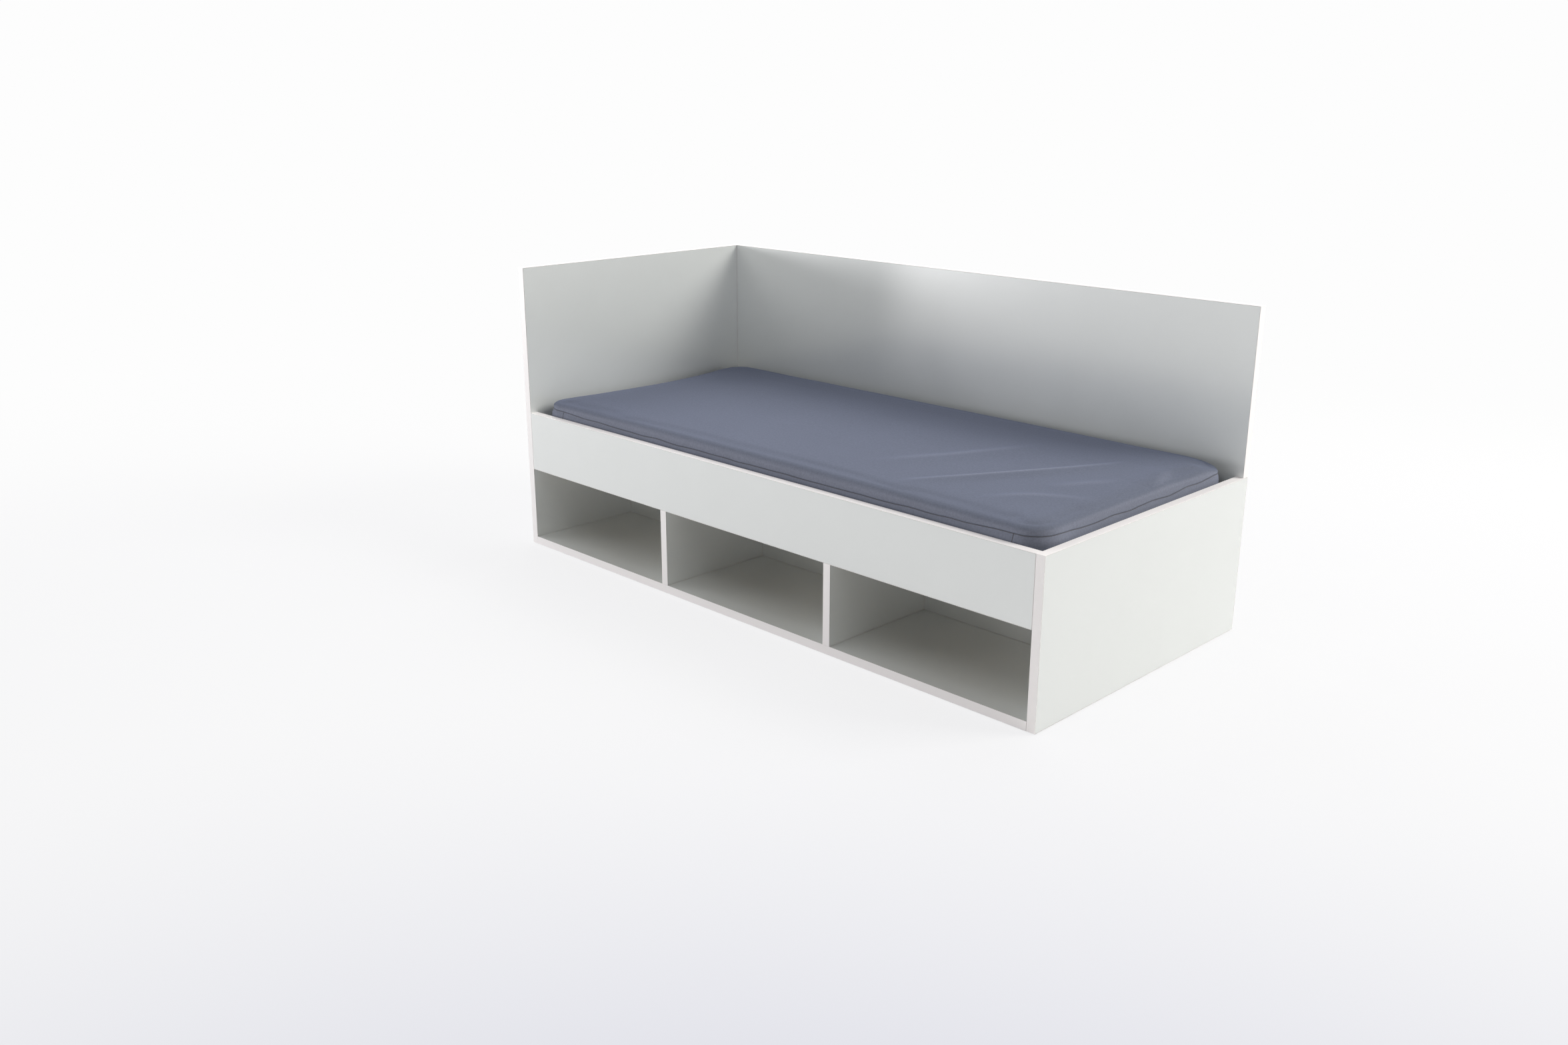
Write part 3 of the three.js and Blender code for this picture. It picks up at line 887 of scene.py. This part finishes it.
class BorderShape:
    """The mattress's border: its rounded plan and the levels of its two seams."""

    def __init__(self, bedding):
        self.bedding = bedding
        self.low, self.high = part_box("mattress")
        self.middle = (self.low + self.high) / 2
        self.reach = (self.high - self.low) / 2 - Vector([bedding.corner_radius] * 3)

    def upper_seam(self, point):
        """The cover seam's level beside a point: lower between the corners, and a little wavy."""
        bedding = self.bedding
        aside = point - self.middle
        half = (self.high - self.low) / 2
        if half.x - abs(aside.x) < half.y - abs(aside.y):
            share = aside.y / self.reach.y
        else:
            share = aside.x / self.reach.x
        dip = bedding.seam_dip * max(0.0, 1.0 - share**DIP_POWER)
        place = Vector((point.x, point.y, 0.0)) / WAVER_LENGTH
        waver = bedding.seam_waver * noise.noise(place)
        return self.high.z - bedding.crown - bedding.seam_depth - dip + waver

    def outward(self, point):
        """How far a point lies outside the corners' middles in plan: 0 inside, at most 1."""
        aside = point - self.middle
        beyond = Vector((0.0, 0.0, 0.0))
        for axis in (X, Y):
            over = max(0.0, abs(aside[axis]) - self.reach[axis])
            beyond[axis] = math.copysign(over, aside[axis])
        return beyond / self.bedding.corner_radius

    def lower_seam(self, point):
        """The lower seam's level beside a point."""
        place = Vector((point.x, point.y, LOWER_LAYER)) / WAVER_LENGTH
        return self.low.z + self.bedding.lower_seam + self.bedding.seam_waver * noise.noise(place)

    def path(self, spacing):
        """Points round the plan, each with its outward direction, counterclockwise."""
        radius = self.bedding.corner_radius
        points = []
        for quarter, (sign_x, sign_y) in enumerate(((1, 1), (-1, 1), (-1, -1), (1, -1))):
            corner = self.middle + Vector((sign_x * self.reach.x, sign_y * self.reach.y, 0.0))
            steps = math.ceil(radius * math.pi / 2 / spacing)
            for step in range(steps):
                angle = (quarter + step / steps) * math.pi / 2
                out = Vector((math.cos(angle), math.sin(angle), 0.0))
                points.append((corner + out * radius, out))
            angle = (quarter + 1) * math.pi / 2
            out = Vector((math.cos(angle), math.sin(angle), 0.0))
            along = Vector((-out.y, out.x, 0.0))
            length = 2 * (self.reach.y if quarter % 2 else self.reach.x)
            steps = math.ceil(length / spacing)
            for step in range(steps):
                points.append((corner + out * radius + along * (length * step / steps), out))
        return points


def crease_places(point):
    """Where a point lies beside each crease: its fading, distance aside, height and width."""
    for start, end, bow, height, width in CREASES:
        run = end - start
        along = run.normalized()
        aside = Vector((-along.y, along.x, 0.0))
        offset = Vector((point.x, point.y, 0.0)) - start
        share = offset.dot(along) / run.length
        if 0.0 < share < 1.0:
            arch = math.sin(math.pi * share)
            yield arch**CREASE_TAPER, offset.dot(aside) - bow * arch, height, width


def crease_rise(point, bedding):
    """How far the creases lift a point of the top: steep on the left and gentle on the right."""
    rise = 0.0
    for fade, across, height, width in crease_places(point):
        side = across / (width * (bedding.crease_width if across > 0.0 else bedding.crease_fall))
        rise += bedding.crease_height * height * fade * math.exp(-side * side)
    return rise


def fit_mesh(cover, border, bedding):
    """Makes the cover's mesh finer beside the creases, and coarser under the mattress."""
    bm = bmesh.new()
    bm.from_mesh(cover.data)
    reach = CREASE_REACH * bedding.crease_width
    near = {
        vertex
        for vertex in bm.verts
        if vertex.normal.z > TOP_SHARE
        and any(abs(across) < reach for _, across, _, _ in crease_places(vertex.co))
    }
    edges = [edge for edge in bm.edges if all(vertex in near for vertex in edge.verts)]
    bmesh.ops.subdivide_edges(bm, edges=edges, cuts=1, use_grid_fill=True)
    bottom = border.low.z + 2 * bedding.slack
    under = [
        vertex
        for vertex in bm.verts
        if vertex.co.z < bottom and border.outward(vertex.co).length < UNDER_REACH
    ]
    bmesh.ops.unsubdivide(bm, verts=under, iterations=UNDER_STEPS)
    bm.to_mesh(cover.data)
    bm.free()


def evaluated_copy(piece):
    """The mesh that an object's modifiers make."""
    graph = bpy.context.evaluated_depsgraph_get()
    return bpy.data.meshes.new_from_object(piece.evaluated_get(graph))


def apply_modifiers(piece):
    """Makes an object's modifiers part of its mesh."""
    mesh = evaluated_copy(piece)
    piece.modifiers.clear()
    piece.data = mesh


def swell_cover(cover, border, bedding):
    """Swells the cover between its seams by a cloth simulation, and caps the swelling."""
    pinned = cover.vertex_groups.new(name="seams")
    near = bedding.mesh_size * PIN_REACH
    for vertex in cover.data.vertices:
        point = vertex.co
        upright = abs(vertex.normal.z) < SEAM_SHARE
        on_seam = upright and abs(point.z - border.upper_seam(point)) < near
        under = point.z < border.low.z + bedding.lower_seam + near
        if on_seam or under:
            pinned.add([vertex.index], 1.0, "REPLACE")
    cloth = cover.modifiers.new("Cloth", "CLOTH")
    cloth.settings.vertex_group_mass = pinned.name
    cloth.settings.use_pressure = True
    cloth.settings.uniform_pressure_force = bedding.pressure
    cloth.settings.effector_weights.gravity = 0.0
    cloth.point_cache.frame_start = FIRST_FRAME
    cloth.point_cache.frame_end = LAST_FRAME
    for number in range(FIRST_FRAME, LAST_FRAME + 1):
        bpy.context.scene.frame_set(number)
    swollen = evaluated_copy(cover)
    cover.modifiers.clear()
    normals = [vertex.normal.copy() for vertex in cover.data.vertices]
    for vertex, moved, normal in zip(cover.data.vertices, swollen.vertices, normals):
        move = moved.co - vertex.co
        move -= normal * min(0.0, move.dot(normal))  # the foam keeps the cover from sinking in
        for axis, cap in ((X, bedding.side_swell), (Y, bedding.side_swell), (Z, bedding.swell)):
            vertex.co[axis] += cap * math.tanh(move[axis] / cap)
    bpy.data.meshes.remove(swollen)
    bpy.context.scene.frame_set(FIRST_FRAME)


def shape_cover(cover, border, bedding):
    """Pulls the cover in along its seams, fills its edges out, and creases and sags its top."""
    # The normals are read first, because each moved vertex would have them all worked out again.
    vertices = cover.data.vertices
    normals = [vertex.normal.copy() for vertex in vertices]
    for vertex, normal in zip(vertices, normals):
        point = vertex.co.copy()
        pull = 0.0
        if abs(normal.z) < BORDER_SHARE:
            upper = point.z - border.upper_seam(point)
            lower = point.z - border.lower_seam(point)
            for rise in (upper, lower):
                pull += math.exp(-((rise / bedding.groove_width) ** 2))
            if normal.y < -FACING_SHARE and lower > 0.0 > upper:
                for place in UPRIGHT_SEAMS:
                    aside = (point.x - place) / bedding.groove_width
                    pull += UPRIGHT_PULL * math.exp(-aside * aside)
            pucker = noise.noise(point / PUCKER_LENGTH) * math.exp(-((upper / PUCKER_REACH) ** 2))
            vertex.co += normal * (PUCKER_DEPTH * pucker)
        # The shoulder is fullest where it slants by 45 degrees.
        slant = 4 * normal.z**2 * (1 - normal.z**2) if normal.z > 0.0 else 0.0
        vertex.co += normal * (bedding.shoulder * slant - bedding.groove * pull)
        if normal.z > FACING_SHARE:
            place = Vector((point.x, point.y, WAVE_LAYER)) / WAVE_LENGTH
            vertex.co.z += WAVE_HEIGHT * noise.noise(place) + crease_rise(point, bedding)
        # Under the upper seam the border stands out, but not at the back.
        out = border.outward(point)
        below = min(point.z - border.upper_seam(point), 0.0)
        nose = bedding.nose * math.exp(below / bedding.nose_run) * min(1.0, 1.0 - out.y)
        vertex.co -= out * (out.length * nose)
        # The back edge is fuller: the rise grows over half of its run and then stays.
        back = (point.y - border.high.y + bedding.back_run) / bedding.back_run
        above = (point.z - border.upper_seam(point)) / bedding.seam_depth
        above = min(max(above, 0.0), 1.0)
        if back > 0.0:
            vertex.co.z += bedding.back_rise * math.sin(min(back, 0.5) * math.pi) * above
        for middle, reach_x, reach_y, depth in HOLLOWS:
            away = ((point.x - middle.x) / reach_x) ** 2 + ((point.y - middle.y) / reach_y) ** 2
            vertex.co.z -= depth * math.exp(-away) * above


def mark_painted_light(cover, bedding):
    """Writes the cover's painted light: steep faces painted paler, less where they look back, and
    a painted highlight on each crease's crest.
    """
    marks = cover.data.attributes.new(PAINTED_LIGHT, "FLOAT", "POINT")
    places = [(vertex.co.copy(), vertex.normal.copy()) for vertex in cover.data.vertices]
    for mark, (point, normal) in zip(marks.data, places):
        # Painted light: steep faces are painted paler, less so where they look back, which keeps
        # those darker as painted shade.
        painted_light_share = (LEVEL_SHARE - abs(normal.z)) / STEEP_RUN * min(1.0, 1.0 - normal.y)
        # Painted highlight along the crest of each crease.
        if normal.z > LEVEL_SHARE:
            for fade, across, height, width in crease_places(point):
                side = across / (bedding.painted_crest_width * width)
                painted_light_share += height * fade * math.exp(-side * side)
        mark.value = min(max(painted_light_share, 0.0), 1.0)


def sweep_tube(name, points, radius, closed, material):
    """A thin tube along a line of points, as a mesh piece on the mattress."""
    curve = bpy.data.curves.new(name, "CURVE")
    curve.dimensions = "3D"
    curve.bevel_depth = radius
    curve.bevel_resolution = 1
    curve.use_fill_caps = True
    spline = curve.splines.new("POLY")
    spline.points.add(len(points) - 1)
    for target, point in zip(spline.points, points):
        target.co = (*point, 1.0)
    spline.use_cyclic_u = closed
    shape = add_object(name + "_line", curve)
    mesh = evaluated_copy(shape)
    bpy.data.objects.remove(shape)
    bpy.data.curves.remove(curve)
    mesh.name = name
    mesh.materials.clear()
    mesh.materials.append(material)
    mesh.shade_smooth()
    piece = add_object(name, mesh)
    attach(piece, "mattress")


def touch_border(surface, point, out, lift):
    """The place, lifted off the cover, where a level ray from outside the border meets it."""
    found, normal, _, _ = surface.ray_cast(point + out * RAY_START, -out)
    if found is None:
        raise RuntimeError(f"no cover beside {tuple(point)}")
    return found + normal * lift


def sew_seams(cover, border, bedding, twill, thread_and_shade):
    """The seams round the border, each with a turned edge above it, and the upright seams."""
    bm = bmesh.new()
    bm.from_mesh(cover.data)
    surface = BVHTree.FromBMesh(bm)
    proud = THREAD_PROUD * bedding.thread_radius
    sunk = WELT_SUNK * bedding.welt_radius
    path = border.path(SEAM_STEP)
    for name, level in (("upper", border.upper_seam), ("lower", border.lower_seam)):
        sewn, turned = [], []
        for point, out in path:
            point = Vector((point.x, point.y, level(point)))
            sewn.append(touch_border(surface, point, out, proud))
            point.z += bedding.thread_radius + bedding.welt_radius
            turned.append(touch_border(surface, point, out, -sunk))
        # The dark tube is the sewing yarn, coloured also to paint the shade in the seam's gap.
        sweep_tube(name + "_seam_thread_and_shade", sewn, bedding.thread_radius, True, thread_and_shade)
        sweep_tube(name + "_seam_welt", turned, bedding.welt_radius, True, twill)
    out = Vector((0.0, -1.0, 0.0))
    for side, place in zip(("left", "right"), UPRIGHT_SEAMS):
        point = Vector((place, border.low.y, 0.0))
        top, bottom = border.upper_seam(point), border.lower_seam(point)
        steps = math.ceil((top - bottom) / SEAM_STEP)
        sewn = []
        for step in range(steps + 1):
            point.z = bottom + (top - bottom) * step / steps
            sewn.append(touch_border(surface, point, out, proud))
        # The same dark tube paints the shade in the upright seam's gap too.
        sweep_tube(side + "_upright_seam", sewn, bedding.thread_radius, False, thread_and_shade)
    bm.free()


class CORNERBED_OT_mattress(bpy.types.Operator):
    """Makes the mattress: swollen cover, seams and creases"""

    bl_idname = "corner_bed.mattress"
    bl_label = "Mattress"

    def execute(self, context):
        bedding = context.scene.corner_bed.bedding
        border = BorderShape(bedding)
        twill = cover_twill(bedding)
        thread_and_shade = thread_and_seam_shade(bedding)

        bm = node_copy("mattress")
        bmesh.ops.recalc_face_normals(bm, faces=bm.faces)
        bm.normal_update()
        for vertex in bm.verts:
            vertex.co -= vertex.normal * bedding.slack
        cover = add_piece(
            bm, "mattress_cover", [twill], "mattress", ["mattress"]
        )
        remesh = cover.modifiers.new("Remesh", "REMESH")
        remesh.mode = "VOXEL"
        remesh.voxel_size = bedding.mesh_size
        apply_modifiers(cover)
        swell_cover(cover, border, bedding)
        smooth = cover.modifiers.new("Smooth", "SUBSURF")
        smooth.levels = smooth.render_levels = 1
        apply_modifiers(cover)
        fit_mesh(cover, border, bedding)
        shape_cover(cover, border, bedding)
        mark_painted_light(cover, bedding)
        cover.data.shade_smooth()
        sew_seams(cover, border, bedding, twill, thread_and_shade)
        return {"FINISHED"}


def add_area_lamp(name, place, size, power, colour):
    """A soft lamp at its place, turned to the bed."""
    light = bpy.data.lights.new(name, "AREA")
    light.shape = "RECTANGLE"
    light.size, light.size_y = size
    light.energy = power
    light.color = linear(colour)[:3]
    lamp = add_object(name, light)
    lamp.location = place
    lamp.rotation_euler = (LAMP_AIM - Vector(place)).to_track_quat("-Z", "Y").to_euler()
    lamp.visible_camera = False


def seen_ray(tree):
    """A value that is 1 for the rays that show a surface to the camera, and 0 for light."""
    path = add_node(tree, "LightPath")
    seen = path.outputs["Is Camera Ray"]
    for ray in ("Is Glossy Ray", "Is Transmission Ray"):
        seen = add_node(tree, "Math", {0: seen, 1: path.outputs[ray]}, operation="MAXIMUM")
    return seen


def studio_floor(stage):
    """Pale studio floor: matt paper that fades to white behind the bed and keeps its shadow."""
    # To light it is plain paper. To the camera it is a share of lit paper, which keeps the soft
    # shadow, and for the rest glow, which levels the lamps' pools: cool grey in front and white
    # far behind.
    material, tree = start_material("studio_paper")
    place = add_node(tree, "TexCoord").outputs["Object"]
    reach = add_node(tree, "VectorMath", {0: place, 1: FRONT_SPOT}, operation="DISTANCE")
    reach = reach.outputs["Value"]
    near = add_node(
        tree, "MapRange", {"Value": reach, "From Min": NEAR_START, "From Max": NEAR_END}
    )
    near = add_node(tree, "Math", {0: near, 1: NEAR_POWER}, operation="POWER")
    far = add_node(
        tree,
        "MapRange",
        {"Value": reach, "From Min": FAR_START, "From Max": FAR_END},
        interpolation_type="SMOOTHSTEP",
    )
    tone = stage.floor_colour
    for share, colour in ((near, stage.near_colour), (far, stage.far_colour)):
        blend = {MIX_FACTOR: share, MIX_A: tone, MIX_B: colour}
        tone = add_node(tree, "Mix", blend, data_type="RGBA").outputs[MIX_RESULT]
    paper = add_node(tree, "BsdfDiffuse", {"Color": stage.floor_colour})
    glow = add_node(tree, "Emission", {"Color": tone, "Strength": FLOOR_GLOW})
    dim = add_node(tree, "VectorMath", {0: tone, "Scale": FLOOR_SHADE}, operation="SCALE")
    dim = add_node(tree, "BsdfDiffuse", {"Color": dim})
    shown = add_node(tree, "AddShader", {0: dim, 1: glow})
    white = add_node(tree, "Emission", {"Color": stage.far_colour, "Strength": 1.0})
    shown = add_node(tree, "MixShader", {0: far, 1: shown, 2: white})
    mixed = add_node(tree, "MixShader", {0: seen_ray(tree), 1: paper, 2: shown})
    add_node(tree, "OutputMaterial", {"Surface": mixed})
    return material


class CORNERBED_OT_stage(bpy.types.Operator):
    """Sets up the floor, the lamps, the world and the camera"""

    bl_idname = "corner_bed.stage"
    bl_label = "Stage"

    def execute(self, context):
        scene = context.scene
        stage = scene.corner_bed.stage

        bm = bmesh.new()
        bmesh.ops.create_grid(bm, x_segments=1, y_segments=1, size=stage.floor_size / 2)
        mesh = bpy.data.meshes.new("studio_floor")
        bm.to_mesh(mesh)
        bm.free()
        mesh.materials.append(studio_floor(stage))
        add_object("studio_floor", mesh)

        world = bpy.data.worlds.new("studio_air")
        world.use_nodes = True
        tree = world.node_tree
        tree.nodes.clear()
        even = add_node(
            tree, "Background", {"Color": linear("#FFFFFF"), "Strength": stage.ambient}
        )
        white = add_node(tree, "Background", {"Color": stage.far_colour, "Strength": 1.0})
        mixed = add_node(tree, "MixShader", {0: seen_ray(tree), 1: even, 2: white})
        add_node(tree, "OutputWorld", {"Surface": mixed})
        scene.world = world

        for name, place, size, strength, colour in LAMPS:
            add_area_lamp(name, place, size, strength * stage.lamp_power, colour)

        camera_data = bpy.data.cameras.new("camera")
        camera_data.sensor_width = SENSOR_WIDTH
        camera_data.lens = stage.focal_length
        camera = add_object("camera", camera_data)
        camera.location = CAMERA_PLACE
        camera.rotation_euler = CAMERA_TURN
        scene.camera = camera
        scene.view_settings.view_transform = "Standard"
        return {"FINISHED"}


class CORNERBED_PT_panel(bpy.types.Panel):
    """Lists the settings and the steps of the corner bed"""

    bl_idname = "CORNERBED_PT_panel"
    bl_label = "Corner bed"
    bl_space_type = "VIEW_3D"
    bl_region_type = "UI"
    bl_category = "Corner bed"

    def draw(self, context):
        settings = context.scene.corner_bed
        for group in ("boards", "timber", "fittings", "bedding", "stage"):
            box = self.layout.box()
            owner = getattr(settings, group)
            for name in owner.__annotations__:
                box.prop(owner, name)
        for operator in STEPS:
            self.layout.operator(operator.bl_idname)


STEPS = (
    CORNERBED_OT_boards,
    CORNERBED_OT_slatted_base,
    CORNERBED_OT_fittings,
    CORNERBED_OT_mattress,
    CORNERBED_OT_stage,
)

CLASSES = (
    BoardSettings,
    TimberSettings,
    FittingSettings,
    MattressSettings,
    StageSettings,
    CornerBedSettings,
    *STEPS,
    CORNERBED_PT_panel,
)


def register():
    for cls in CLASSES:
        bpy.utils.register_class(cls)
    bpy.types.Scene.corner_bed = PointerProperty(type=CornerBedSettings)


def unregister():
    del bpy.types.Scene.corner_bed
    for cls in reversed(CLASSES):
        bpy.utils.unregister_class(cls)


def main():
    register()
    for step in STEPS:
        group, name = step.bl_idname.split(".")
        getattr(getattr(bpy.ops, group), name)()


if __name__ == "__main__":
    main()
